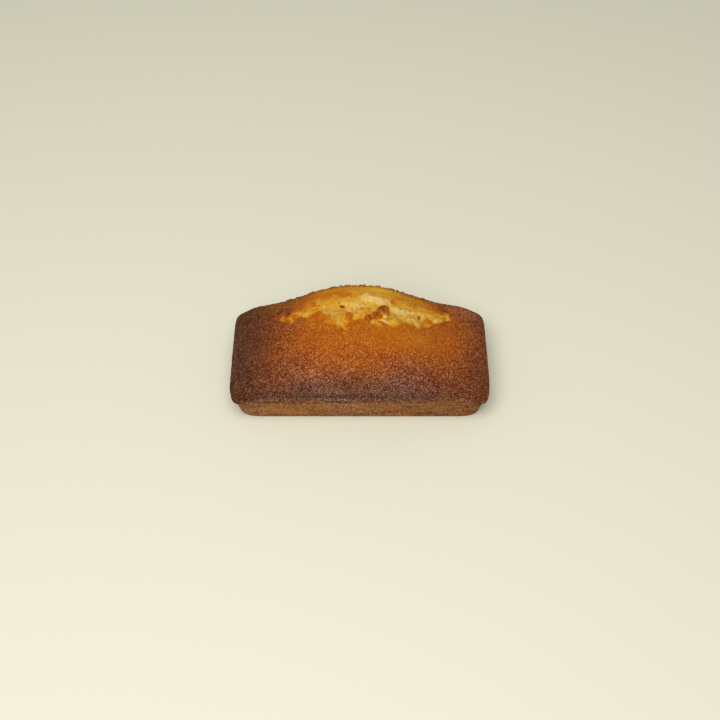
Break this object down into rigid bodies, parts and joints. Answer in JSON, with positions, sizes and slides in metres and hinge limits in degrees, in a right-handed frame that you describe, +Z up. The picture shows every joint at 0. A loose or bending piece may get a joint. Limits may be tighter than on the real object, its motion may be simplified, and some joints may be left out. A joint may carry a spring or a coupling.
{
  "type": "financier cake",
  "caption": "Small oblong almond cake with a low moulded foot, a lip round it, a risen browned crown and a craggy split along the top.",
  "frame": {"origin": "middle of the flat base that the cake stands on", "axes": "+X along the length, +Y away from the side that is seen first, +Z up out of the base"},
  "size_m": [0.09, 0.0434, 0.0342],
  "materials": {
    "crust": "matt, grainy, golden brown baked crust, dark at the foot of the crown, cream-yellow crumb in the split"
  },
  "bodies": {
    "root": {"financier_cake": "crust"}
  },
  "joints": []
}
